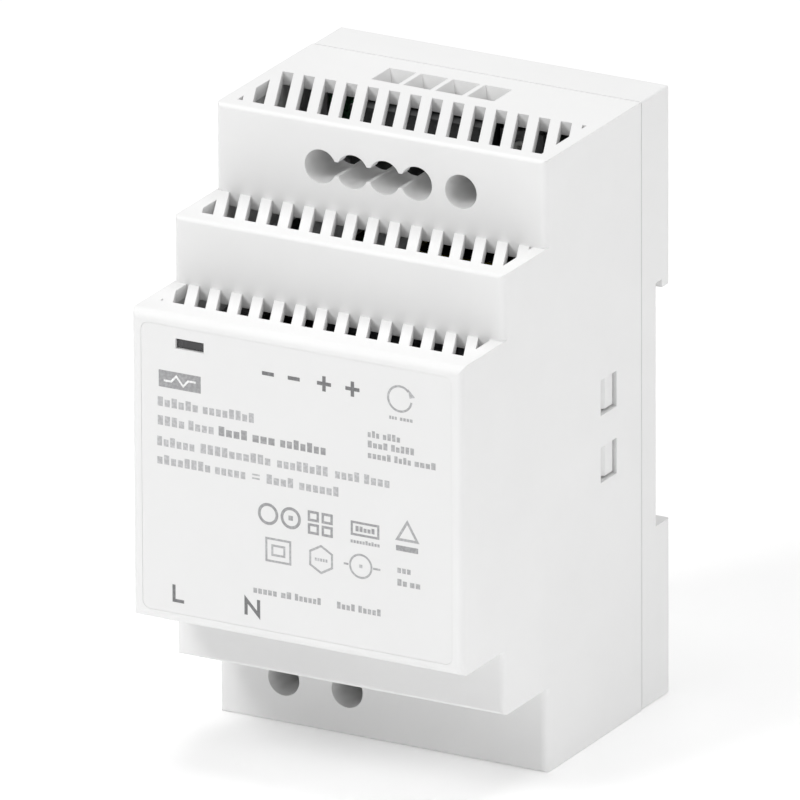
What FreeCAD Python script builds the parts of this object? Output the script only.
import FreeCAD, Part
import math
import os

# A DIN rail power supply, three 17.5 mm modules wide.
# X runs to the right, Y from the front face to the back, Z up, all in millimetres.
# While the pieces are built, y is measured back from the collar's front face.
# The last step moves them all forward by half the depth, so the origin lies in the
# middle of the bottom face.

V = FreeCAD.Vector

# ---- Casing ----
WIDTH = 52.5
HEIGHT = 91.0
DEPTH = 61.0
WALL = 2.0
COLLAR_HEIGHT = 45.8        # front collar, which passes through a 45 mm panel cut-out
STEP_HEIGHT = 65.3          # middle step
TIER_CENTRE_Z = 45.4        # both steps are centred at this height
COLLAR_LENGTH = 12.3        # collar front to the middle step
STEP_LENGTH = 12.3          # middle step to the main body
BASE_DEPTH = 8.3            # rear base behind the seam
CORNER_RADIUS = 1.0
BROW_RADIUS = 1.4           # top and bottom front edges of the collar
BROW_SMALL = 0.6            # the same edges of the other two tiers
EDGE_RADIUS = 0.4
SEAM_CHAMFER = 0.12

# ---- Vent slots ----
SLOT_PITCH = 3.41
SLOT_WIDTH = 1.75
SLOT_SLOPE = 0.45           # sideways run for each unit of depth
SLOT_SIDE_MARGIN = 2.1
SLOT_SCRAP = 0.3            # corners of slots smaller than this volume are left solid
BODY_VENT = (2.6, 15.9)     # start and end behind the main body's front
STEP_VENT_START = 3.1
COLLAR_VENT_START = 4.8
BODY_SLOT_X = 5.44          # first slot's front end, from the left side
STEP_SLOT_X = 3.77
COLLAR_SLOT_X = 4.95

# ---- Terminals ----
TERMINAL_PITCH = 5.08
OUTPUT_POLES = 4
OUTPUT_CENTRE_X = -1.9
INPUT_POLES = 2
INPUT_PITCH = 2 * TERMINAL_PITCH
INPUT_CENTRE_X = -10.75
SCREW_INSET = 6.7           # screw axis from the nearest end of the casing
TUNNEL_RADIUS = 2.5
TUNNEL_SLOT_HALF = 1.08     # half height of the slot that joins the output tunnels
TUNNEL_LOFT_DROP = 0.15     # the open space above the slot stays this far below the crowns
TUNNEL_LENGTH = 9.1         # from the main body's front
TUNNEL_WALL = 0.95
FUNNEL_MOUTH = (4.3, 5.4)
FUNNEL_THROAT = (3.2, 4.4)
FUNNEL_FROM_BOARD = 4.3     # funnel's middle to the board's front
TERMINAL_HEIGHT = 12.0      # from the board to the terminal's front
TERMINAL_REACH = 9.7        # along Z
TERMINAL_GAP = 0.3          # terminal to the casing's end wall
TERMINAL_SIDE = 0.3         # wall outside the last pole
SCREW_RADIUS = 1.3
SCREW_HEAD_RADIUS = 1.75
SCREW_HEAD_LENGTH = 1.6
SCREW_SLOT = (0.3, 0.8)     # half width and depth of a screwdriver slot
HEAD_CLEARANCE = 0.3
RUN_CLEARANCE = 0.05
SHELF_THICKNESS = 0.6
CAGE_LENGTH = 6.2
CAGE_ROOF = 1.2
CAGE_FLOOR = 0.6
CAGE_SIDE = 0.5
CAGE_SCREW_GAP = 0.1        # screw to the cage's side walls
CHAMBER_BACK = 1.2          # terminal's wall behind the cages
WIRE_GAP = 2.5
CAGE_CLEARANCE = 0.12
BAR_THICKNESS = 0.7
BAR_CLEARANCE = 0.1
PIN_HALF = 0.5
PIN_REACH = 1.6             # from the cage's space to the solder pin

# ---- Trim pot, LED ----
TRIM_GAP = 0.84             # output terminal to the trim pot
TRIM_RIB = 5.2              # rib from the trim hole's axis to the right
TRIM_SIZE = 6.8
TRIM_HEIGHT = 8.0
ROTOR_RADIUS = 1.9
ROTOR_LENGTH = 2.4
ROTOR_PROUD = 0.6
ROTOR_SLOT = (1.4, 0.3, 0.9)  # half length, half width and depth of its cross
LED_FROM_LEFT = 9.35
LED_FROM_TOP = 4.0          # LED window's middle to the collar's top
LED_WINDOW = (4.4, 1.4)
LED_HEIGHT = 1.8
LED_BASE = (1.6, 1.4, 1.0)  # half width, half height and thickness
LED_LENS = (1.2, 0.8)       # its radius at the base and at the tip
PIPE_CLEARANCE = 0.05
PIPE_RECESS = 0.45
PIPE_TO_LED = 0.6

# ---- Label ----
LABEL_MARGIN = 1.6
LABEL_THICKNESS = 0.27
LABEL_POCKET = 0.3
LABEL_GAP = 0.02
LABEL_CORNER = 1.2

# ---- Rear base and rail ----
RAIL_WIDTH = 35.0
RAIL_PLAY = 0.1
RAIL_CENTRE_Z = 43.95
RAIL_SEAT_DEPTH = 4.1
HOOK_RISE = 1.2
HOOK_SLOT = 1.8
TONGUE_LENGTH = 1.8
TONGUE_THICKNESS = 1.2
TONGUE_CLEARANCE = 0.15
WINDOW_LENGTH = 4.7
WINDOW_FROM_SEAM = 7.4
WINDOW_HEIGHT = 5.3
WINDOW_PITCH = 10.0
WINDOW_CENTRE_Z = 45.8
TAB_CLEARANCE = 0.35
TAB_INSET = 0.5
TAB_RAMP = 1.8
ARM_THICKNESS = 1.4
POST_RADIUS = 2.8
POST_RISE = 12.0            # posts' middles from the board's lower edge
POST_DROP = 12.9            # and from its upper edge

# ---- Latch ----
LATCH_WIDTH = 22.0
LATCH_FLANGE = 3.0          # how far the plate reaches past the rib on each side
LATCH_PLATE = 1.4
LATCH_RIB = 1.6
LATCH_PLAY = 0.2
LATCH_BOTTOM = 0.6
LATCH_OVERLAP = 1.6         # how far its nose covers the rail's edge
NOSE_CHAMFER = 1.2
RAIL_EDGE = 1.0
SPRING_Z = (10.0, 20.0)
SPRING_RADIUS = 1.0         # mean radius of the coil
SPRING_WIRE = 0.35
SPRING_TURNS = 7
PEG_HALF = 1.3
PEG_HEIGHT = 2.0
WINDOW_HALF = 1.8
SLOT_SIZE = (6.0, 1.6)      # screwdriver slot near the latch's lower end
SLOT_RISE = 2.2

# ---- Board ----
BOARD_FROM_SEAM = 2.3       # board's front face to the seam
BOARD_THICKNESS = 1.6
BOARD_SIDE_GAP = 0.6        # board edge to the tongue, left and right
BOARD_END_GAP = 0.3
BOARD_SCREW_RADIUS = 1.25   # bore of the posts
BOARD_SCREW_GAP = 0.05
BOARD_SCREW_DEPTH = 5.0
BOARD_SCREW_HEAD = (2.2, 1.6)
BOARD_HOLE_RADIUS = 1.4
LEAD_RADIUS = 0.4
LEAD_CLEARANCE = 0.1
LEAD_TAIL = 1.0
SHEET_THICKNESS = 0.3

# ---- Parts on the board: centre x and z, then sizes ----
TRANSFORMER = (1.0, 56.5)
CORE_SIZE = (27.0, 22.0)
CORE_HEIGHT = 20.0
CORE_LIFT = 3.0
CORE_LEG = 4.0              # outer legs
CORE_YOKE = 4.0
CORE_POST = 10.0            # middle leg's width
BOBBIN_WALL = 0.8
BOBBIN_GAP = 0.15           # bobbin to the middle leg
BOBBIN_END_GAP = 0.1        # and to the yokes
BOBBIN_SIDE_GAP = 0.2       # and to the outer legs
BOBBIN_FOOT_GAP = 0.3
BOBBIN_PINS = ((-9.0, -3.0, 3.0, 9.0), (-9.6, 9.6))
WINDING_INSET = 0.3         # tape inside the bobbin's rims
WINDING_CORNER = 2.0
BULK_CAP = (-7.0, 33.0)
BULK_CAP_RADIUS = 8.9
BULK_CAP_HEIGHT = 34.0
CAN_BEAD = (3.2, 0.25, 0.6)  # its height over the board, then how far out and how thick its ring is
CAN_SCORE = (0.6, 0.15, 0.2)  # vent cross: length in radii, half width, depth
OUTPUT_CAPS_X = (-11.0, -2.0)
OUTPUT_CAP_RADIUS = 4.0
OUTPUT_CAP_HEIGHT = 20.0
INDUCTOR_X = 7.5
FILTER_DROP = 5.3           # output filter's row below the output terminal
INDUCTOR_RADIUS = 4.0
INDUCTOR_HEIGHT = 11.0
INDUCTOR_RIM = 1.2
INDUCTOR_LIFT = 0.4
CHOKE = (12.8, 23.2)
CHOKE_RADII = (4.8, 8.6)
CHOKE_THICKNESS = 6.4
CHOKE_WIRE = 0.8
CHOKE_LIFT = 1.0
CHOKE_TURNS = 9
CHOKE_SPREAD = 56.0         # the windings reach this many degrees either way from the sides
CHOKE_LEAD_X = 5.1
CHOKE_LEAD_Z = 2.4
X_CAP = (-5.0, 18.2)
X_CAP_SIZE = (13.0, 7.0, 13.0)
FUSE = (11.0, 8.6)
FUSE_RADIUS = 2.6
FUSE_LENGTH = 20.0
FUSE_CAP_LENGTH = 5.0
FUSE_LIFT = 1.6
CLIP_THICKNESS = 0.4
CLIP_WIDTH = 3.6
VARISTOR = (-15.2, 20.0)
VARISTOR_RADIUS = 5.0
VARISTOR_THICKNESS = 4.0
THERMISTOR = (-20.2, 24.0)
THERMISTOR_RADIUS = 4.5
THERMISTOR_THICKNESS = 3.4
BRIDGE = (-19.3, 36.5)
BRIDGE_SIZE = (3.4, 14.0, 10.0)
Y_CAP = (7.0, 37.0)
Y_CAP_RADIUS = 4.0
Y_CAP_THICKNESS = 3.6
OPTO = (16.0, 35.5)
OPTO_SIZE = (6.4, 4.6, 3.4)
CHIP = (8.0, 56.5)
CHIP_SIZE = (4.9, 3.9, 1.4)
CHIP_LEGS = (4, 1.27, 0.2, 3.0, 0.3)  # legs a side, pitch, half width, reach, thickness
BODY_LIFT = 0.3             # moulded parts stand this far off the board
SINK_FROM_EDGE = 0.6        # heatsink to the board's edge
SINK_THICKNESS = 1.6
SINK_Z = (46.0, 71.0)
SINK_HEIGHT = 27.0
SWITCH_Z = 54.0
RECTIFIER_Z = 58.0
DEVICE_TAB = (1.3, 10.0, 15.5)
DEVICE_BODY = (3.1, 10.0, 9.0)
DEVICE_LIFT = 5.0
DEVICE_HOLE = 2.7           # hole to the tab's end
DEVICE_PITCH = 2.54
SINK_SCREW_RADIUS = 1.5
SINK_SCREW_GAP = 0.05
SINK_SCREW_HEAD = (2.6, 1.8)

# ---- Places that follow from the sizes above ----
STEP_Y = COLLAR_LENGTH
BODY_Y = COLLAR_LENGTH + STEP_LENGTH
SEAM_Y = DEPTH - BASE_DEPTH
BOARD_FRONT = SEAM_Y - BOARD_FROM_SEAM
HALF_WIDTH = WIDTH / 2
INNER_HALF = HALF_WIDTH - WALL
OUTPUT_SCREW_Z = HEIGHT - SCREW_INSET
INPUT_SCREW_Z = SCREW_INSET
TERMINAL_FRONT = BOARD_FRONT - TERMINAL_HEIGHT
TUNNEL_END = BODY_Y + TUNNEL_LENGTH
HEAD_FRONT = TERMINAL_FRONT + HEAD_CLEARANCE
SHELF_Y = HEAD_FRONT + SCREW_HEAD_LENGTH + RUN_CLEARANCE
BOARD_BACK = BOARD_FRONT + BOARD_THICKNESS
RAIL_SEAT_Y = DEPTH - RAIL_SEAT_DEPTH
RAIL_LOW_Z = RAIL_CENTRE_Z - RAIL_WIDTH / 2 - RAIL_PLAY
RAIL_HIGH_Z = RAIL_CENTRE_Z + RAIL_WIDTH / 2 + RAIL_PLAY
TONGUE_HALF = INNER_HALF - TONGUE_CLEARANCE
BOARD_HALF = TONGUE_HALF - TONGUE_THICKNESS - BOARD_SIDE_GAP
BOARD_LOW_Z = WALL + TONGUE_CLEARANCE + TONGUE_THICKNESS + BOARD_END_GAP
BOARD_HIGH_Z = HEIGHT - BOARD_LOW_Z
POST_X = BOARD_HALF - POST_RADIUS
POST_Z = (BOARD_LOW_Z + POST_RISE, BOARD_HIGH_Z - POST_DROP)
FUNNEL_Y = BOARD_FRONT - FUNNEL_FROM_BOARD
WINDOW_Y = (SEAM_Y - WINDOW_FROM_SEAM - WINDOW_LENGTH, SEAM_Y - WINDOW_FROM_SEAM)
LED_X = LED_FROM_LEFT - HALF_WIDTH
LED_Z = TIER_CENTRE_Z + COLLAR_HEIGHT / 2 - LED_FROM_TOP
OUTPUT_LOW_Z = HEIGHT - WALL - TERMINAL_GAP - TERMINAL_REACH
FILTER_Z = OUTPUT_LOW_Z - FILTER_DROP
OUTPUT_CAPS = [(x, FILTER_Z) for x in OUTPUT_CAPS_X]
INDUCTOR = (INDUCTOR_X, FILTER_Z)
LATCH_PLATE_Y = DEPTH - LATCH_RIB - LATCH_PLAY - LATCH_PLATE
LATCH_RIB_Y = LATCH_PLATE_Y + LATCH_PLATE
CHANNEL_Y = LATCH_PLATE_Y - LATCH_PLAY
CAGE_WIDTH = 2 * (SCREW_RADIUS + CAGE_SCREW_GAP + CAGE_SIDE)
CAGE_FLOOR_BACK = BOARD_FRONT - CHAMBER_BACK
CAGE_BACK = CAGE_FLOOR_BACK - CAGE_CLEARANCE
CHAMBER_LOW_Z = OUTPUT_SCREW_Z - CAGE_LENGTH / 2 - CAGE_CLEARANCE
BAR_BACK = CAGE_BACK - CAGE_FLOOR - WIRE_GAP
BAR_FRONT = BAR_BACK - BAR_THICKNESS
CAGE_FRONT = BAR_FRONT - BAR_CLEARANCE - CAGE_ROOF


# ---- Small helpers ----

def block(x0, x1, y0, y1, z0, z1):
    """A box between two limits on each axis."""
    return Part.makeBox(x1 - x0, y1 - y0, z1 - z0, V(x0, y0, z0))


def post(radius, x, z, y0, y1):
    """A round bar along Y."""
    return Part.makeCylinder(radius, y1 - y0, V(x, y0, z), V(0, 1, 0))


def bar(radius, y, z, x0, x1):
    """A round bar along X."""
    return Part.makeCylinder(radius, x1 - x0, V(x0, y, z), V(1, 0, 0))


def join(shapes):
    """One solid from overlapping or touching shapes."""
    return shapes[0].multiFuse(shapes[1:]).removeSplitter()


def on_edges(shape, axis, test):
    """Edges that run along one axis and whose middle passes the test."""
    found = []
    for edge in shape.Edges:
        run = edge.Vertexes[-1].Point - edge.Vertexes[0].Point
        if run.Length > 0 and abs(run.dot(axis)) > 0.999 * run.Length:
            if test(edge.CenterOfMass):
                found.append(edge)
    return found


def prism(points, low, high):
    """A flat outline in XY, raised from low to high."""
    wire = Part.makePolygon([V(x, y, low) for x, y in points + points[:1]])
    return Part.Face(wire).extrude(V(0, 0, high - low))


def end_mirror(shape):
    """The same shape at the other end of the casing."""
    return shape.mirror(V(0, 0, HEIGHT / 2), V(0, 0, 1))


def pole_places(centre, poles, pitch):
    """Centre x of each pole, from left to right."""
    first = centre - pitch * (poles - 1) / 2
    return [first + pitch * k for k in range(poles)]


OUTPUT_X = pole_places(OUTPUT_CENTRE_X, OUTPUT_POLES, TERMINAL_PITCH)
INPUT_X = pole_places(INPUT_CENTRE_X, INPUT_POLES, INPUT_PITCH)
TRIM_X = OUTPUT_X[-1] + TERMINAL_PITCH / 2 + TERMINAL_SIDE + TRIM_GAP + TRIM_SIZE / 2


# ---- Front housing ----

def tier(front_y, height, brow):
    """A block from front_y back to the seam, with rounded front corners and brows."""
    low = tier_low(height)
    blank = block(-HALF_WIDTH, HALF_WIDTH, front_y, SEAM_Y, low, low + height)
    upright = on_edges(blank, V(0, 0, 1), lambda p: p.y < front_y + 0.01)
    level = on_edges(blank, V(1, 0, 0), lambda p: p.y < front_y + 0.01)
    return blank.makeFillet(CORNER_RADIUS, upright).common(blank.makeFillet(brow, level))


def tier_low(height):
    """The lowest z of a tier: the main body stands on z = 0, the steps are centred."""
    return 0 if height >= HEIGHT else TIER_CENTRE_Z - height / 2


def tier_cavity(front_y, height):
    """The space inside one tier, open at the seam."""
    low = tier_low(height)
    return block(-INNER_HALF, INNER_HALF, front_y + WALL, SEAM_Y + 1,
                 low + WALL, low + height - WALL)


def vent_slots(first_x, y0, y1, z0, z1):
    """Slanted slots across one shelf, trimmed to the margins at each side."""
    left = -HALF_WIDTH + SLOT_SIDE_MARGIN
    shift = SLOT_SLOPE * (y1 - y0)
    start = -HALF_WIDTH + first_x - SLOT_PITCH
    count = int((WIDTH - 2 * SLOT_SIDE_MARGIN + shift) / SLOT_PITCH) + 2
    window = block(left, -left, y0, y1, z0, z1)
    slots = []
    for k in range(count):
        x = start + SLOT_PITCH * k
        half = SLOT_WIDTH / 2
        outline = [(x - half, y0), (x + half, y0),
                   (x + half - shift, y1), (x - half - shift, y1)]
        slot = prism(outline, z0, z1).common(window)
        if slot.Volume > SLOT_SCRAP:
            slots.append(slot)
    return slots


def all_vents():
    """The slots on the three upper shelves, and their mirror images below."""
    step_top = TIER_CENTRE_Z + STEP_HEIGHT / 2
    collar_top = TIER_CENTRE_Z + COLLAR_HEIGHT / 2
    step_low = TIER_CENTRE_Z - STEP_HEIGHT / 2
    collar_low = TIER_CENTRE_Z - COLLAR_HEIGHT / 2
    spans = [(BODY_SLOT_X, BODY_Y + BODY_VENT[0], BODY_Y + BODY_VENT[1], HEIGHT, 0.0),
             (STEP_SLOT_X, STEP_Y + STEP_VENT_START, BODY_Y, step_top, step_low),
             (COLLAR_SLOT_X, COLLAR_VENT_START, STEP_Y, collar_top, collar_low)]
    slots = []
    for first_x, y0, y1, top, low in spans:
        slots += vent_slots(first_x, y0, y1, top - WALL - 0.5, top + 1)
        slots += vent_slots(first_x, y0, y1, low - 1, low + WALL + 0.5)
    return slots


def funnel(x):
    """A four-sided wire entry through the top wall, wide at the outside."""
    wires = []
    for size, z in ((FUNNEL_THROAT, HEIGHT - WALL), (FUNNEL_MOUTH, HEIGHT)):
        half_x = size[0] / 2
        half_y = size[1] / 2
        corners = [V(x - half_x, FUNNEL_Y - half_y, z), V(x + half_x, FUNNEL_Y - half_y, z),
                   V(x + half_x, FUNNEL_Y + half_y, z), V(x - half_x, FUNNEL_Y + half_y, z)]
        wires.append(Part.makePolygon(corners + corners[:1]))
    return Part.makeLoft(wires, True, True)


def output_tunnel_block():
    """The box behind the front wall that leads a screwdriver to the output screws."""
    reach = TUNNEL_RADIUS + TUNNEL_WALL
    return block(OUTPUT_X[0] - reach, OUTPUT_X[-1] + reach, BODY_Y + WALL / 2, TUNNEL_END,
                 OUTPUT_SCREW_Z - reach, OUTPUT_SCREW_Z + reach)


def output_tunnels():
    """Four round ways joined by a slot, with one open space above it inside."""
    ways = [post(TUNNEL_RADIUS, x, OUTPUT_SCREW_Z, BODY_Y - 1, TUNNEL_END + 1) for x in OUTPUT_X]
    slot = block(OUTPUT_X[0], OUTPUT_X[-1], BODY_Y - 1, TUNNEL_END + 1,
                 OUTPUT_SCREW_Z - TUNNEL_SLOT_HALF, OUTPUT_SCREW_Z + TUNNEL_SLOT_HALF)
    loft = block(OUTPUT_X[0], OUTPUT_X[-1], BODY_Y + WALL, TUNNEL_END + 1,
                 OUTPUT_SCREW_Z, OUTPUT_SCREW_Z + TUNNEL_RADIUS - TUNNEL_LOFT_DROP)
    return ways + [slot, loft]


def trim_guide():
    """The tube and rib that lead a screwdriver to the trim pot."""
    reach = TUNNEL_RADIUS + TUNNEL_WALL
    tube = post(reach, TRIM_X, OUTPUT_SCREW_Z, BODY_Y + WALL / 2, TUNNEL_END)
    rib = block(TRIM_X, TRIM_X + TRIM_RIB, BODY_Y + WALL / 2, TUNNEL_END,
                OUTPUT_SCREW_Z - reach, OUTPUT_SCREW_Z + reach)
    return join([tube, rib])


def snap_windows():
    """Windows in both side walls where the base's tabs catch."""
    windows = []
    for z in pole_places(WINDOW_CENTRE_Z, 2, WINDOW_PITCH):
        windows.append(block(-HALF_WIDTH - 1, HALF_WIDTH + 1, WINDOW_Y[0], WINDOW_Y[1],
                             z - WINDOW_HEIGHT / 2, z + WINDOW_HEIGHT / 2))
    return windows


def label_outline(gap, y0, y1):
    """The rounded field on the collar's face, smaller by a gap all round."""
    half_x = HALF_WIDTH - LABEL_MARGIN - gap
    half_z = COLLAR_HEIGHT / 2 - LABEL_MARGIN - gap
    field = block(-half_x, half_x, y0, y1, TIER_CENTRE_Z - half_z, TIER_CENTRE_Z + half_z)
    corners = on_edges(field, V(0, 1, 0), lambda p: True)
    return field.makeFillet(LABEL_CORNER - gap, corners)


def led_opening(gap, y0, y1):
    """A bar with the LED window's outline, larger by a gap all round."""
    half_x = LED_WINDOW[0] / 2 + gap
    half_z = LED_WINDOW[1] / 2 + gap
    return block(LED_X - half_x, LED_X + half_x, y0, y1, LED_Z - half_z, LED_Z + half_z)


def front_housing():
    """The stepped shell with vents, tunnels, funnels and snap windows."""
    shell = join([tier(BODY_Y, HEIGHT, BROW_SMALL),
                  tier(STEP_Y, STEP_HEIGHT, BROW_SMALL),
                  tier(0, COLLAR_HEIGHT, BROW_RADIUS)])
    cavity = join([tier_cavity(BODY_Y, HEIGHT), tier_cavity(STEP_Y, STEP_HEIGHT),
                   tier_cavity(0, COLLAR_HEIGHT)])
    shell = shell.cut(cavity)
    reach = TUNNEL_RADIUS + TUNNEL_WALL
    guides = [output_tunnel_block(), trim_guide()]
    for x in INPUT_X:
        guides.append(post(reach, x, INPUT_SCREW_Z, BODY_Y + WALL / 2, TUNNEL_END))
    shell = join([shell] + guides)
    ways = output_tunnels()
    ways.append(post(TUNNEL_RADIUS, TRIM_X, OUTPUT_SCREW_Z, BODY_Y - 1, TUNNEL_END + 1))
    for x in INPUT_X:
        ways.append(post(TUNNEL_RADIUS, x, INPUT_SCREW_Z, BODY_Y - 1, TUNNEL_END + 1))
    entries = [funnel(x) for x in OUTPUT_X] + [end_mirror(funnel(x)) for x in INPUT_X]
    front = [label_outline(0, -1, LABEL_POCKET), led_opening(PIPE_CLEARANCE, -1, WALL + 1)]
    shell = shell.cut(ways + entries + snap_windows() + front)
    shell = shell.cut(all_vents())
    return shell.cut(seam_bevel(SEAM_Y, 1))


def seam_bevel(y, towards):
    """A thin wedge ring that bevels one side of the seam all round the outside."""
    c = SEAM_CHAMFER
    outer = block(-HALF_WIDTH - 1, HALF_WIDTH + 1, y - c * (towards > 0), y + c * (towards < 0),
                  -1, HEIGHT + 1)
    inner = block(-HALF_WIDTH + c, HALF_WIDTH - c, y - 2, y + 2, c, HEIGHT - c)
    return outer.cut(inner)


# ---- Rear base ----

def base_cavity():
    """The hollow of the base: shallow behind the rail, deep above and at the sides below."""
    rail_wall = RAIL_SEAT_Y - WALL
    back = DEPTH - WALL
    channel_side = LATCH_WIDTH / 2 + LATCH_FLANGE + LATCH_PLAY + WALL
    half = TONGUE_HALF - TONGUE_THICKNESS
    low = WALL + TONGUE_CLEARANCE + TONGUE_THICKNESS
    high = HEIGHT - low
    front = SEAM_Y - TONGUE_LENGTH - 1
    spaces = [block(-half, half, front, rail_wall, low, high),
              block(-half, half, front, back, RAIL_HIGH_Z + HOOK_RISE + WALL, high)]
    for side in (-1, 1):
        near = min(side * channel_side, side * half)
        far = max(side * channel_side, side * half)
        spaces.append(block(near, far, front, back, low, RAIL_LOW_Z - WALL))
    return join(spaces)


def rail_recess():
    """The rail's space across the whole width, with the undercut of the fixed hook."""
    seat = block(-HALF_WIDTH - 1, HALF_WIDTH + 1, RAIL_SEAT_Y, DEPTH + 1, RAIL_LOW_Z, RAIL_HIGH_Z)
    hook = block(-HALF_WIDTH - 1, HALF_WIDTH + 1, RAIL_SEAT_Y, RAIL_SEAT_Y + HOOK_SLOT,
                 RAIL_LOW_Z, RAIL_HIGH_Z + HOOK_RISE)
    return seat.fuse(hook)


def latch_channel():
    """The T-shaped way that the latch slides in, open at the bottom and at the rail."""
    plate_half = LATCH_WIDTH / 2 + LATCH_FLANGE + LATCH_PLAY
    rib_half = LATCH_WIDTH / 2 + LATCH_PLAY
    plate = block(-plate_half, plate_half, CHANNEL_Y, LATCH_RIB_Y + LATCH_PLAY, -1, RAIL_LOW_Z + 1)
    rib = block(-rib_half, rib_half, CHANNEL_Y, DEPTH + 1, -1, RAIL_LOW_Z + 1)
    return plate.fuse(rib)


def spring_peg():
    """The fixed peg in the latch's window, which the spring stands on."""
    return block(-PEG_HALF, PEG_HALF, CHANNEL_Y - 0.5, LATCH_RIB_Y + LATCH_RIB - LATCH_PLAY,
                 SPRING_Z[0] - PEG_HEIGHT, SPRING_Z[0])


def snap_arm(side, z):
    """An arm from the base along one side wall, with its ramped tab in the window."""
    outer = TONGUE_HALF
    half = WINDOW_HEIGHT / 2 - TAB_CLEARANCE
    tip = WINDOW_Y[0] + TAB_CLEARANCE
    back = WINDOW_Y[1] - TAB_CLEARANCE
    arm = block(outer - ARM_THICKNESS, outer, tip, SEAM_Y + 1, z - half, z + half)
    proud = HALF_WIDTH - TAB_INSET
    root = outer - ARM_THICKNESS / 2
    outline = [(root, tip), (outer, tip), (proud, tip + TAB_RAMP), (proud, back), (root, back)]
    shape = arm.fuse(prism(outline, z - half, z + half))
    if side < 0:
        shape = shape.mirror(V(0, 0, 0), V(1, 0, 0))
    return shape


def rear_base():
    """The moulded back with rail seat, hook, latch channel, tongue, arms and posts."""
    shell = block(-HALF_WIDTH, HALF_WIDTH, SEAM_Y, DEPTH, 0, HEIGHT)
    rims = on_edges(shell, V(0, 0, 1), lambda p: p.y > DEPTH - 0.01)
    rims += on_edges(shell, V(1, 0, 0), lambda p: p.y > DEPTH - 0.01)
    rims += on_edges(shell, V(0, 1, 0), lambda p: True)
    shell = shell.makeFillet(EDGE_RADIUS, rims)
    tongue = block(-TONGUE_HALF, TONGUE_HALF, SEAM_Y - TONGUE_LENGTH, SEAM_Y + 1,
                   WALL + TONGUE_CLEARANCE, HEIGHT - WALL - TONGUE_CLEARANCE)
    shell = shell.fuse(tongue).cut(base_cavity())
    shell = shell.cut([rail_recess(), latch_channel(), seam_bevel(SEAM_Y, -1)])
    extras = [spring_peg()]
    extras += [snap_arm(side, z) for side in (-1, 1)
               for z in pole_places(WINDOW_CENTRE_Z, 2, WINDOW_PITCH)]
    for x in (-POST_X, POST_X):
        for z in POST_Z:
            extras.append(post(POST_RADIUS, x, z, BOARD_BACK, DEPTH - WALL + 0.5))
    shell = join([shell] + extras)
    holes = [post(BOARD_SCREW_RADIUS, x, z, BOARD_BACK - 1, BOARD_BACK + BOARD_SCREW_DEPTH + 1)
             for x in (-POST_X, POST_X) for z in POST_Z]
    return shell.cut(holes)


# ---- Latch ----

def din_latch():
    """A sliding foot: plate in the channel, rib with a nose over the rail's edge."""
    plate_half = LATCH_WIDTH / 2 + LATCH_FLANGE
    rib_half = LATCH_WIDTH / 2
    rib_back = LATCH_RIB_Y + LATCH_RIB
    nose_top = RAIL_LOW_Z + LATCH_OVERLAP
    plate = block(-plate_half, plate_half, LATCH_PLATE_Y, LATCH_RIB_Y, LATCH_BOTTOM, RAIL_LOW_Z - 0.5)
    nose_front = RAIL_SEAT_Y + RAIL_EDGE + 0.2
    rib = block(-rib_half, rib_half, nose_front, rib_back, LATCH_BOTTOM, nose_top)
    edges = on_edges(rib, V(1, 0, 0), lambda p: p.z > nose_top - 0.01 and p.y > rib_back - 0.01)
    rib = rib.makeChamfer(NOSE_CHAMFER, edges)
    window = block(-WINDOW_HALF, WINDOW_HALF, LATCH_PLATE_Y - 1, DEPTH + 1,
                   SPRING_Z[0] - PEG_HEIGHT - LATCH_PLAY, SPRING_Z[1] + RUN_CLEARANCE)
    slot = block(-SLOT_SIZE[0] / 2, SLOT_SIZE[0] / 2, LATCH_PLATE_Y - 1, DEPTH + 1,
                 LATCH_BOTTOM + SLOT_RISE, LATCH_BOTTOM + SLOT_RISE + SLOT_SIZE[1])
    return join([plate, rib]).cut([window, slot])


def latch_spring():
    """A small coil spring between the peg and the top of the latch's window."""
    length = SPRING_Z[1] - SPRING_Z[0] - SPRING_WIRE * 2
    pitch = length / SPRING_TURNS
    helix = Part.makeHelix(pitch, length, SPRING_RADIUS)
    ring = Part.Wire(Part.Edge(Part.Circle(V(SPRING_RADIUS, 0, 0), V(0, 1, 0), SPRING_WIRE / 2)))
    coil = Part.Wire(helix).makePipeShell([ring], True, True)
    y = (LATCH_PLATE_Y + LATCH_RIB_Y + LATCH_RIB) / 2
    coil.translate(V(0, y, SPRING_Z[0] + SPRING_WIRE))
    return coil


# ---- Terminals, built for the top end ----

def terminal_body(places, pitch):
    """The block with a stepped screw bore, a cage chamber and a wire way for each pole."""
    high = HEIGHT - WALL - TERMINAL_GAP
    low = high - TERMINAL_REACH
    half = pitch / 2 if pitch < 2 * CAGE_WIDTH else CAGE_WIDTH
    body = block(places[0] - half - TERMINAL_SIDE, places[-1] + half + TERMINAL_SIDE,
                 TERMINAL_FRONT, BOARD_FRONT, low, high)
    cuts = []
    for x in places:
        cuts.append(post(SCREW_HEAD_RADIUS + HEAD_CLEARANCE, x, OUTPUT_SCREW_Z,
                         TERMINAL_FRONT - 1, SHELF_Y))
        cuts.append(post(SCREW_RADIUS + RUN_CLEARANCE, x, OUTPUT_SCREW_Z,
                         SHELF_Y - 0.5, SHELF_Y + SHELF_THICKNESS + 0.5))
        cuts.append(cage_chamber(x))
        cuts.append(block(x - CAGE_WIDTH / 2, x + CAGE_WIDTH / 2, BAR_FRONT - BAR_CLEARANCE,
                          CAGE_FLOOR_BACK - CAGE_FLOOR, OUTPUT_SCREW_Z, high + 1))
    return body.cut(cuts)


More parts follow.
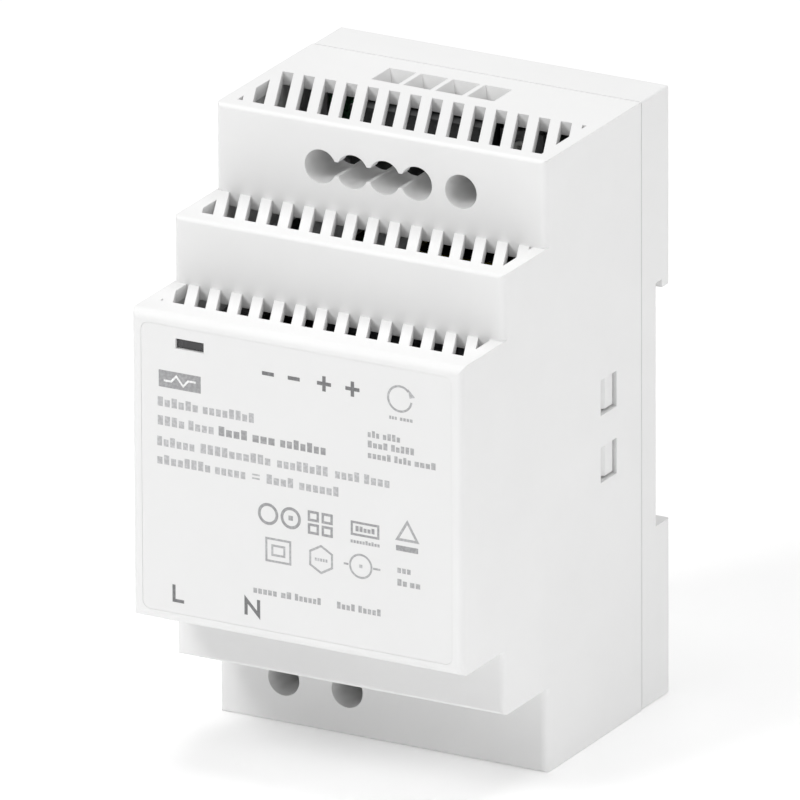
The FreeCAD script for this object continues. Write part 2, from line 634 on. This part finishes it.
def cage_chamber(x):
    """The space that the cage rises in."""
    half_x = CAGE_WIDTH / 2 + CAGE_CLEARANCE
    return block(x - half_x, x + half_x, SHELF_Y + SHELF_THICKNESS, CAGE_FLOOR_BACK,
                 CHAMBER_LOW_Z, 2 * OUTPUT_SCREW_Z - CHAMBER_LOW_Z)


def terminal_screw(x):
    """A slotted screw that turns in place."""
    head = post(SCREW_HEAD_RADIUS, x, OUTPUT_SCREW_Z, HEAD_FRONT, HEAD_FRONT + SCREW_HEAD_LENGTH)
    shank = post(SCREW_RADIUS, x, OUTPUT_SCREW_Z, HEAD_FRONT + SCREW_HEAD_LENGTH - 0.1,
                 BAR_FRONT - BAR_CLEARANCE)
    slot = block(x - SCREW_HEAD_RADIUS, x + SCREW_HEAD_RADIUS, HEAD_FRONT - 1,
                 HEAD_FRONT + SCREW_SLOT[1], OUTPUT_SCREW_Z - SCREW_SLOT[0], OUTPUT_SCREW_Z + SCREW_SLOT[0])
    return head.fuse(shank).cut(slot).removeSplitter()


def terminal_cage(x):
    """A four-walled cage on the screw, open along the wire."""
    half_x = CAGE_WIDTH / 2
    half_z = CAGE_LENGTH / 2
    outer = block(x - half_x, x + half_x, CAGE_FRONT, CAGE_BACK,
                  OUTPUT_SCREW_Z - half_z, OUTPUT_SCREW_Z + half_z)
    inner = block(x - half_x + CAGE_SIDE, x + half_x - CAGE_SIDE, CAGE_FRONT + CAGE_ROOF,
                  CAGE_BACK - CAGE_FLOOR, OUTPUT_SCREW_Z - half_z - 1, OUTPUT_SCREW_Z + half_z + 1)
    bore = post(SCREW_RADIUS + RUN_CLEARANCE, x, OUTPUT_SCREW_Z, CAGE_FRONT - 1,
                CAGE_FRONT + CAGE_ROOF + 0.5)
    return outer.cut([inner, bore])


def contact_bar(x):
    """The bar that the wire is pressed against, bent down to a solder pin through the board."""
    half = CAGE_WIDTH / 2 - CAGE_SIDE - BAR_CLEARANCE
    flat = block(x - half, x + half, BAR_FRONT, BAR_BACK, CHAMBER_LOW_Z, OUTPUT_SCREW_Z + CAGE_LENGTH / 2)
    return join([flat] + neck_and_pin(x, 0, LEAD_TAIL))


def neck_and_pin(x, gap, tail):
    """The bar's narrow end and its pin, larger by a gap all round."""
    half = PIN_HALF + gap
    low = CHAMBER_LOW_Z - PIN_REACH
    return [block(x - half, x + half, BAR_FRONT - gap, BAR_BACK + gap, low - gap, CHAMBER_LOW_Z + 0.5),
            block(x - half, x + half, BAR_FRONT - gap, BOARD_BACK + tail, low - gap,
                  low + BAR_THICKNESS + gap)]


def pin_ways(places):
    """Room for the necks and pins in the terminal and the board."""
    ways = []
    for x in places:
        ways += neck_and_pin(x, LEAD_CLEARANCE, 1)
    return ways


# ---- Trim pot, LED, label ----

def trim_pot_body():
    """A square body on the board with a round seat for the rotor."""
    half = TRIM_SIZE / 2
    body = block(TRIM_X - half, TRIM_X + half, BOARD_FRONT - TRIM_HEIGHT, BOARD_FRONT,
                 OUTPUT_SCREW_Z - half, OUTPUT_SCREW_Z + half)
    front = BOARD_FRONT - TRIM_HEIGHT
    seat = post(ROTOR_RADIUS + RUN_CLEARANCE, TRIM_X, OUTPUT_SCREW_Z, front - 1,
                front + ROTOR_LENGTH - ROTOR_PROUD + RUN_CLEARANCE)
    return body.cut(seat)


def trim_rotor():
    """A cross-slotted disc that turns in the body."""
    front = BOARD_FRONT - TRIM_HEIGHT - ROTOR_PROUD
    disc = post(ROTOR_RADIUS, TRIM_X, OUTPUT_SCREW_Z, front, front + ROTOR_LENGTH)
    slots = []
    half_length, half_width, depth = ROTOR_SLOT
    for half_x, half_z in ((half_length, half_width), (half_width, half_length)):
        slots.append(block(TRIM_X - half_x, TRIM_X + half_x, front - 1, front + depth,
                           OUTPUT_SCREW_Z - half_z, OUTPUT_SCREW_Z + half_z))
    return disc.cut(slots)


def light_pipe():
    """A clear bar from the window in the front to the LED on the board."""
    return led_opening(0, PIPE_RECESS, BOARD_FRONT - LED_HEIGHT - PIPE_TO_LED)


def status_led():
    """A small square LED on the board, in line with the light pipe."""
    half_x, half_z, thickness = LED_BASE
    top = BOARD_FRONT - thickness
    base = block(LED_X - half_x, LED_X + half_x, top, BOARD_FRONT, LED_Z - half_z, LED_Z + half_z)
    lens = Part.makeCone(LED_LENS[0], LED_LENS[1], LED_HEIGHT - thickness, V(LED_X, top, LED_Z), V(0, -1, 0))
    return base.fuse(lens)


def front_label():
    """The printed field in its pocket, open over the LED window."""
    field = label_outline(LABEL_GAP, LABEL_POCKET - LABEL_THICKNESS, LABEL_POCKET)
    return field.cut(led_opening(PIPE_CLEARANCE, -1, LABEL_POCKET + 1))


# ---- Board and the parts on it ----

def leads(points, start):
    """Round leads from a part down through the board."""
    return [post(LEAD_RADIUS, x, z, start, BOARD_BACK + LEAD_TAIL) for x, z in points]


def around(centre, dx, dz):
    """Four lead places on a rectangle."""
    return [(centre[0] + sx * dx, centre[1] + sz * dz) for sx in (-1, 1) for sz in (-1, 1)]


def across(centre, dx, dz):
    """Two lead places, one each side of a centre."""
    return [(centre[0] - dx, centre[1] - dz), (centre[0] + dx, centre[1] + dz)]


def sink_face(side):
    """The x of a heatsink's inner face."""
    return side * (BOARD_HALF - SINK_FROM_EDGE - SINK_THICKNESS)


def device_leads(side, z):
    """The three leads of a device on a heatsink."""
    x = sink_face(side) - side * (DEVICE_TAB[0] + DEVICE_BODY[0] / 2)
    return [(x, z + k * DEVICE_PITCH) for k in (-1, 0, 1)]


LEADS = {
    "transformer_bobbin": [(TRANSFORMER[0] + x, TRANSFORMER[1] + z)
                           for x in BOBBIN_PINS[0] for z in BOBBIN_PINS[1]],
    "bulk_capacitor": across(BULK_CAP, 3.75, 0),
    "output_capacitor_1": across(OUTPUT_CAPS[0], 0, 1.75),
    "output_capacitor_2": across(OUTPUT_CAPS[1], 0, 1.75),
    "output_inductor": across(INDUCTOR, 0, 2.5),
    "x_capacitor": across(X_CAP, 5.0, 0),
    "varistor": across(VARISTOR, 0, 3.75),
    "thermistor": across(THERMISTOR, 0, 2.5),
    "bridge_rectifier": [(BRIDGE[0], BRIDGE[1] + z) for z in (-5.7, -1.9, 1.9, 5.7)],
    "y_capacitor": across(Y_CAP, 0, 3.2),
    "optocoupler": around(OPTO, 2.7, 1.27),
    "choke_windings": around(CHOKE, CHOKE_LEAD_X, CHOKE_LEAD_Z),
    "switching_transistor": device_leads(-1, SWITCH_Z),
    "output_rectifier": device_leads(1, RECTIFIER_Z),
}


def main_board():
    """The circuit board with its screw holes and lead holes."""
    board = block(-BOARD_HALF, BOARD_HALF, BOARD_FRONT, BOARD_BACK, BOARD_LOW_Z, BOARD_HIGH_Z)
    holes = [post(BOARD_HOLE_RADIUS, x, z, BOARD_FRONT - 1, BOARD_BACK + 1)
             for x in (-POST_X, POST_X) for z in POST_Z]
    for points in LEADS.values():
        for x, z in points:
            holes.append(post(LEAD_RADIUS + LEAD_CLEARANCE, x, z, BOARD_FRONT - 1, BOARD_BACK + 1))
    slots = pin_ways(OUTPUT_X) + [end_mirror(way) for way in pin_ways(INPUT_X)]
    return board.cut(holes + slots)


def board_screws():
    """Four pan head screws that hold the board to the base's posts."""
    screws = []
    head_radius, head_length = BOARD_SCREW_HEAD
    top = BOARD_FRONT - head_length
    for x in (-POST_X, POST_X):
        for z in POST_Z:
            head = post(head_radius, x, z, top, BOARD_FRONT)
            shank = post(BOARD_SCREW_RADIUS - BOARD_SCREW_GAP, x, z, BOARD_FRONT - 0.5,
                         BOARD_BACK + BOARD_SCREW_DEPTH)
            slot = block(x - SCREW_SLOT[0], x + SCREW_SLOT[0], top - 1, top + SCREW_SLOT[1],
                         z - head_radius, z + head_radius)
            screws.append(head.fuse(shank).cut(slot).removeSplitter())
    return screws


def insulating_sheet():
    """A thin sheet between the solder side and the rail seat's wall."""
    wall = RAIL_SEAT_Y - WALL
    return block(-BOARD_HALF, BOARD_HALF, wall - SHEET_THICKNESS - 0.05, wall - 0.05,
                 POST_Z[0] + POST_RADIUS + 1, POST_Z[1] - POST_RADIUS - 1)


def core_inner_ends():
    """The inner faces of the core's two yokes, front then back."""
    back = BOARD_FRONT - CORE_LIFT - CORE_YOKE
    return back - CORE_HEIGHT + 2 * CORE_YOKE, back


def transformer_core():
    """Two E halves face to face, shown as one ring of ferrite with a middle leg."""
    x, z = TRANSFORMER
    half_x = CORE_SIZE[0] / 2
    half_z = CORE_SIZE[1] / 4
    front, back = core_inner_ends()
    outer = block(x - half_x, x + half_x, front - CORE_YOKE, back + CORE_YOKE, z - half_z, z + half_z)
    windows = []
    for side in (-1, 1):
        near = x + side * CORE_POST / 2
        far = x + side * (half_x - CORE_LEG)
        windows.append(block(min(near, far), max(near, far), front, back, z - half_z - 1, z + half_z + 1))
    return outer.cut(windows)


def round_post(gap, y0, y1):
    """A bar round the core's middle leg, larger than it by a gap."""
    x, z = TRANSFORMER
    half_x = CORE_POST / 2 + gap
    half_z = CORE_SIZE[1] / 4 + gap
    return block(x - half_x, x + half_x, y0, y1, z - half_z, z + half_z)


def transformer_bobbin():
    """The winding former round the core's middle leg, with a foot for the pins."""
    x, z = TRANSFORMER
    yoke_front, yoke_back = core_inner_ends()
    front = yoke_front + BOBBIN_END_GAP
    back = yoke_back - BOBBIN_END_GAP
    flange_x = CORE_SIZE[0] / 2 - CORE_LEG - BOBBIN_SIDE_GAP
    flange_z = CORE_SIZE[1] / 2
    former = [round_post(BOBBIN_GAP + BOBBIN_WALL, front, back)]
    for y in (front, back - BOBBIN_WALL):
        former.append(block(x - flange_x, x + flange_x, y, y + BOBBIN_WALL, z - flange_z, z + flange_z))
    former = join(former).cut(round_post(BOBBIN_GAP, front - 1, back + 1))
    feet = []
    for side in (-1, 1):
        near = z + side * (CORE_SIZE[1] / 4 + BOBBIN_FOOT_GAP)
        far = z + side * flange_z
        feet.append(block(x - flange_x - CORE_LEG / 2, x + flange_x + CORE_LEG / 2, back - BOBBIN_WALL,
                          BOARD_FRONT - BODY_LIFT, min(near, far), max(near, far)))
    return join([former] + feet + leads(LEADS["transformer_bobbin"], BOARD_FRONT - 1))


def transformer_winding():
    """The taped winding between the bobbin's rims."""
    x, z = TRANSFORMER
    yoke_front, yoke_back = core_inner_ends()
    margin = BOBBIN_END_GAP + BOBBIN_WALL + RUN_CLEARANCE
    front = yoke_front + margin
    back = yoke_back - margin
    half_x = CORE_SIZE[0] / 2 - CORE_LEG - BOBBIN_SIDE_GAP - WINDING_INSET
    half_z = CORE_SIZE[1] / 2 - WINDING_INSET
    outer = block(x - half_x, x + half_x, front, back, z - half_z, z + half_z)
    outer = outer.makeFillet(WINDING_CORNER, on_edges(outer, V(0, 1, 0), lambda p: True))
    return outer.cut(round_post(BOBBIN_GAP + BOBBIN_WALL, front - 1, back + 1))


def can_capacitor(name, centre, radius, height):
    """A round can with a bead near the board and a scored vent at its end."""
    x, z = centre
    top = BOARD_FRONT - height
    can = post(radius, x, z, top, BOARD_FRONT - BODY_LIFT)
    can = can.makeFillet(radius * 0.12, [edge for edge in can.Edges if edge.CenterOfMass.y < top + 0.01])
    rise, out, thick = CAN_BEAD
    bead = Part.makeTorus(radius + out, thick, V(x, BOARD_FRONT - rise, z), V(0, 1, 0))
    reach = CAN_SCORE[0] * radius
    scores = []
    for half_x, half_z in ((reach, CAN_SCORE[1]), (CAN_SCORE[1], reach)):
        scores.append(block(x - half_x, x + half_x, top - 1, top + CAN_SCORE[2], z - half_z, z + half_z))
    return join([can.cut([bead] + scores)] + leads(LEADS[name], BOARD_FRONT - 1))


def output_inductor():
    """A drum core with a fatter winding round its waist."""
    x, z = INDUCTOR
    front = BOARD_FRONT - INDUCTOR_HEIGHT
    back = BOARD_FRONT - INDUCTOR_LIFT
    ends = [post(INDUCTOR_RADIUS, x, z, front, front + INDUCTOR_RIM),
            post(INDUCTOR_RADIUS, x, z, back - INDUCTOR_RIM, back)]
    waist = post(INDUCTOR_RADIUS - 0.5, x, z, front + 0.5, back - 0.5)
    return join([waist] + ends + leads(LEADS["output_inductor"], BOARD_FRONT - 1))


def choke_centre():
    """Centre of the choke's ring, which stands upright on the board."""
    y = BOARD_FRONT - CHOKE_LIFT - CHOKE_WIRE - CHOKE_RADII[1]
    return V(CHOKE[0], y, CHOKE[1])


def ring(inner, outer, thickness):
    """A flat ring about the choke's axis."""
    centre = choke_centre()
    start = centre - V(0, 0, thickness / 2)
    return Part.makeCylinder(outer, thickness, start).cut(Part.makeCylinder(inner, thickness, start))


def choke_core():
    """The ferrite ring of the common-mode choke."""
    return ring(CHOKE_RADII[0], CHOKE_RADII[1], CHOKE_THICKNESS)


def choke_windings():
    """One winding on each side of the ring: turns of round wire, the lowest with leads."""
    shapes = []
    for side in (-1, 1):
        for k in range(CHOKE_TURNS):
            angle = -CHOKE_SPREAD + 2 * CHOKE_SPREAD * k / (CHOKE_TURNS - 1)
            turn = winding_turn()
            turn.rotate(V(0, 0, 0), V(0, 0, 1), angle if side > 0 else 180 - angle)
            turn.translate(choke_centre())
            if k == CHOKE_TURNS - 1:
                points = [p for p in LEADS["choke_windings"] if (p[0] - CHOKE[0]) * side > 0]
                start = choke_centre().y + CHOKE_RADII[1] * math.sin(math.radians(angle))
                turn = join([turn] + leads(points, start + CHOKE_WIRE / 2))
            shapes.append(turn)
    return shapes


def winding_turn():
    """One turn of wire round the ring's section, on the +X side."""
    gap = 0.1
    inner_x = CHOKE_RADII[0] - gap - CHOKE_WIRE
    outer_x = CHOKE_RADII[1] + gap
    half_z = CHOKE_THICKNESS / 2 + gap
    outer = block(inner_x, outer_x + CHOKE_WIRE, -CHOKE_WIRE / 2, CHOKE_WIRE / 2,
                  -half_z - CHOKE_WIRE, half_z + CHOKE_WIRE)
    outer = outer.makeFillet(CHOKE_WIRE * 0.8, on_edges(outer, V(0, 1, 0), lambda p: True))
    inner = block(inner_x + CHOKE_WIRE, outer_x, -CHOKE_WIRE, CHOKE_WIRE, -half_z, half_z)
    return outer.cut(inner)


def box_part(name, centre, size):
    """A moulded box on its leads; size is along X, Z and Y."""
    x, z = centre
    back = BOARD_FRONT - BODY_LIFT
    body = block(x - size[0] / 2, x + size[0] / 2, back - size[2], back, z - size[1] / 2, z + size[1] / 2)
    body = body.makeFillet(EDGE_RADIUS, body.Edges)
    return join([body] + leads(LEADS[name], back - 1))


def disc_part(name, centre, radius, thickness):
    """A dipped disc standing on two leads, its face along X."""
    x, z = centre
    y = BOARD_FRONT - radius - 1.5
    disc = bar(radius, y, z, x - thickness / 2, x + thickness / 2)
    disc = disc.makeFillet(thickness * 0.4, [edge for edge in disc.Edges if edge.Length > radius * 6])
    return join([disc] + leads(LEADS[name], y + radius * 0.3))


def fuse_axis_y():
    """Height of the fuse's axis over the board."""
    return BOARD_FRONT - FUSE_LIFT - FUSE_RADIUS


def fuse_tube():
    """The glass tube between the fuse's caps."""
    half = FUSE_LENGTH / 2
    return bar(FUSE_RADIUS - 0.3, fuse_axis_y(), FUSE[1], FUSE[0] - half + 0.5, FUSE[0] + half - 0.5)


def fuse_caps():
    """A cup over each end of the tube."""
    half = FUSE_LENGTH / 2
    cups = []
    for side in (-1, 1):
        end = FUSE[0] + side * half
        inner_end = end - side * FUSE_CAP_LENGTH
        cup = bar(FUSE_RADIUS, fuse_axis_y(), FUSE[1], min(end, inner_end), max(end, inner_end))
        deep = end - side * 0.5
        bore_end = inner_end - side * 1
        cups.append(cup.cut(bar(FUSE_RADIUS - 0.3, fuse_axis_y(), FUSE[1], min(deep, bore_end),
                                max(deep, bore_end))))
    return cups


def fuse_clips():
    """A sprung U under each cap, standing on the board."""
    clips = []
    y = fuse_axis_y()
    z = FUSE[1]
    for side in (-1, 1):
        x = FUSE[0] + side * (FUSE_LENGTH / 2 - FUSE_CAP_LENGTH / 2)
        half = CLIP_WIDTH / 2
        outer = bar(FUSE_RADIUS + CLIP_THICKNESS, y, z, x - half, x + half)
        inner = bar(FUSE_RADIUS, y, z, x - half - 1, x + half + 1)
        mouth = block(x - half - 1, x + half + 1, y - 10, y - FUSE_RADIUS * 0.45, z - 10, z + 10)
        foot = block(x - half, x + half, y + FUSE_RADIUS + CLIP_THICKNESS / 2, BOARD_FRONT, z - 1.2, z + 1.2)
        clips.append(outer.cut([inner, mouth]).fuse(foot.cut(inner)).removeSplitter())
    return clips


def heatsink(side):
    """An aluminium plate on edge beside the board's rim, with its screw hole."""
    near = sink_face(side)
    far = near + side * SINK_THICKNESS
    z = SWITCH_Z if side < 0 else RECTIFIER_Z
    plate = block(min(near, far), max(near, far), BOARD_FRONT - SINK_HEIGHT, BOARD_FRONT,
                  SINK_Z[0], SINK_Z[1])
    hole = bar(SINK_SCREW_RADIUS, device_hole_y(), z, min(near, far) - 1, max(near, far) + 1)
    return plate.cut(hole)


def device_hole_y():
    """Height of the screw that holds a device to its heatsink."""
    return BOARD_FRONT - DEVICE_LIFT - DEVICE_TAB[2] + DEVICE_HOLE


def power_device(name, side, z):
    """A flat power device: a metal tab with a plastic body and three leads."""
    face = sink_face(side)
    inner = face - side * DEVICE_TAB[0]
    front_face = inner - side * DEVICE_BODY[0]
    low = BOARD_FRONT - DEVICE_LIFT
    half = DEVICE_TAB[1] / 2
    tab = block(min(face, inner), max(face, inner), low - DEVICE_TAB[2], low, z - half, z + half)
    body = block(min(inner, front_face), max(inner, front_face), low - DEVICE_BODY[2], low,
                 z - half, z + half)
    hole = bar(SINK_SCREW_RADIUS, device_hole_y(), z, min(face, inner) - 1, max(face, inner) + 1)
    return join([tab.cut(hole), body] + leads(LEADS[name], low - 0.5))


def heatsink_screws():
    """A screw through each device and its heatsink."""
    screws = []
    y = device_hole_y()
    for side, z in ((-1, SWITCH_Z), (1, RECTIFIER_Z)):
        inner = sink_face(side) - side * DEVICE_TAB[0]
        outer = sink_face(side) + side * SINK_THICKNESS
        head_end = inner - side * SINK_SCREW_HEAD[1]
        head = bar(SINK_SCREW_HEAD[0], y, z, min(inner, head_end), max(inner, head_end))
        shank = bar(SINK_SCREW_RADIUS - SINK_SCREW_GAP, y, z, min(inner, outer) - 0.1,
                    max(inner, outer) + 0.1)
        screws.append(head.fuse(shank).removeSplitter())
    return screws


def controller_chip():
    """The controller on the board's solder side, with its gull-wing leads."""
    x, z = CHIP
    legs, pitch, half, reach, thickness = CHIP_LEGS
    body = block(x - CHIP_SIZE[0] / 2, x + CHIP_SIZE[0] / 2, BOARD_BACK + thickness / 2,
                 BOARD_BACK + CHIP_SIZE[2], z - CHIP_SIZE[1] / 2, z + CHIP_SIZE[1] / 2)
    pairs = [block(place - half, place + half, BOARD_BACK, BOARD_BACK + thickness, z - reach, z + reach)
             for place in pole_places(x, legs, pitch)]
    return join([body] + pairs)


# ---- Export ----

def export(name, shape):
    """Writes one piece, moved so that the origin is under the casing's middle."""
    if isinstance(shape, list):
        shape = Part.makeCompound(shape)
    moved = shape.copy()
    moved.translate(V(0, -DEPTH / 2, 0))
    moved.exportStep("parts/" + name + ".step")


def casing_pieces():
    """Casing, label, light pipe, latch and spring."""
    export("front_housing", front_housing())
    export("rear_base", rear_base())
    export("front_label", front_label())
    export("light_pipe", light_pipe())
    export("din_latch", din_latch())
    export("latch_spring", latch_spring())


def terminal_pieces():
    """Both terminal blocks with their screws, cages and bars."""
    for name, places, pitch, place in (("output", OUTPUT_X, TERMINAL_PITCH, lambda s: s),
                                       ("input", INPUT_X, INPUT_PITCH, end_mirror)):
        body = terminal_body(places, pitch).cut(pin_ways(places))
        export(name + "_terminal_body", place(body))
        export(name + "_contact_bars", [place(contact_bar(x)) for x in places])
        for k, x in enumerate(places):
            export(name + "_screw_" + str(k + 1), place(terminal_screw(x)))
            export(name + "_cage_" + str(k + 1), place(terminal_cage(x)))


def board_pieces():
    """The board with everything on it."""
    export("main_board", main_board())
    export("board_screws", board_screws())
    export("insulating_sheet", insulating_sheet())
    export("trim_pot_body", trim_pot_body())
    export("trim_rotor", trim_rotor())
    export("status_led", status_led())
    export("transformer_core", transformer_core())
    export("transformer_bobbin", transformer_bobbin())
    export("transformer_winding", transformer_winding())
    export("bulk_capacitor", can_capacitor("bulk_capacitor", BULK_CAP, BULK_CAP_RADIUS, BULK_CAP_HEIGHT))
    for k, centre in enumerate(OUTPUT_CAPS):
        name = "output_capacitor_" + str(k + 1)
        export(name, can_capacitor(name, centre, OUTPUT_CAP_RADIUS, OUTPUT_CAP_HEIGHT))
    export("output_inductor", output_inductor())
    export("choke_core", choke_core())
    export("choke_windings", choke_windings())
    export("x_capacitor", box_part("x_capacitor", X_CAP, X_CAP_SIZE))
    export("fuse_tube", fuse_tube())
    export("fuse_caps", fuse_caps())
    export("fuse_clips", fuse_clips())
    export("varistor", disc_part("varistor", VARISTOR, VARISTOR_RADIUS, VARISTOR_THICKNESS))
    export("thermistor", disc_part("thermistor", THERMISTOR, THERMISTOR_RADIUS, THERMISTOR_THICKNESS))
    export("bridge_rectifier", box_part("bridge_rectifier", BRIDGE, BRIDGE_SIZE))
    export("y_capacitor", disc_part("y_capacitor", Y_CAP, Y_CAP_RADIUS, Y_CAP_THICKNESS))
    export("optocoupler", box_part("optocoupler", OPTO, OPTO_SIZE))
    export("controller_chip", controller_chip())
    export("primary_heatsink", heatsink(-1))
    export("output_heatsink", heatsink(1))
    export("switching_transistor", power_device("switching_transistor", -1, SWITCH_Z))
    export("output_rectifier", power_device("output_rectifier", 1, RECTIFIER_Z))
    export("heatsink_screws", heatsink_screws())


os.makedirs("parts", exist_ok=True)
casing_pieces()
terminal_pieces()
board_pieces()
